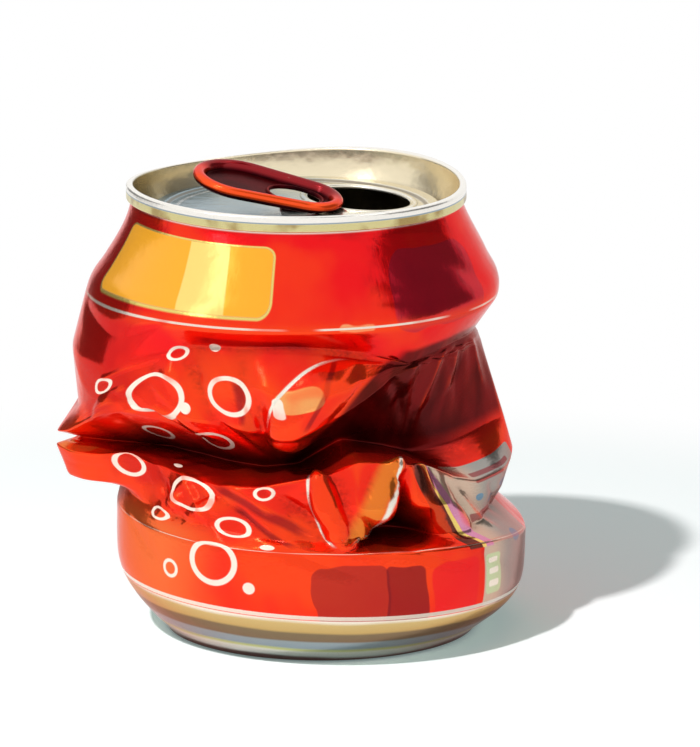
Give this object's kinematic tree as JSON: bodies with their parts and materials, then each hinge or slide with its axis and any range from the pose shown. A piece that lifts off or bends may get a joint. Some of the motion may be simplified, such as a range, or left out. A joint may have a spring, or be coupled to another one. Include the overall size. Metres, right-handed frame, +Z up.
{
  "type": "crushed drink can",
  "caption": "Empty drink can crushed from above, folded all round its middle, with an open mouth and a lifted pull tab.",
  "frame": {"origin": "on the floor, under the middle of the can's bounding box", "axes": "+Z up, -Y towards the side that the picture shows, +X to the right of it"},
  "size_m": [0.0764, 0.0668, 0.0758],
  "materials": {
    "red_lacquer": "gloss lacquer over aluminium, creased and scuffed",
    "lid_aluminium": "satin rolled",
    "tab_lacquer": "gloss tinted lacquer"
  },
  "bodies": {
    "can": {"can_body": "red_lacquer", "can_end": "lid_aluminium"},
    "tab": {"pull_tab": "tab_lacquer"}
  },
  "joints": [
    {"name": "tab_turn", "type": "hinge", "parent": "can", "child": "tab", "pos_m": [0.00097, 0.00013, 0.06815], "axis": [0, -0.0384, 0.9993], "continuous": true}
  ]
}
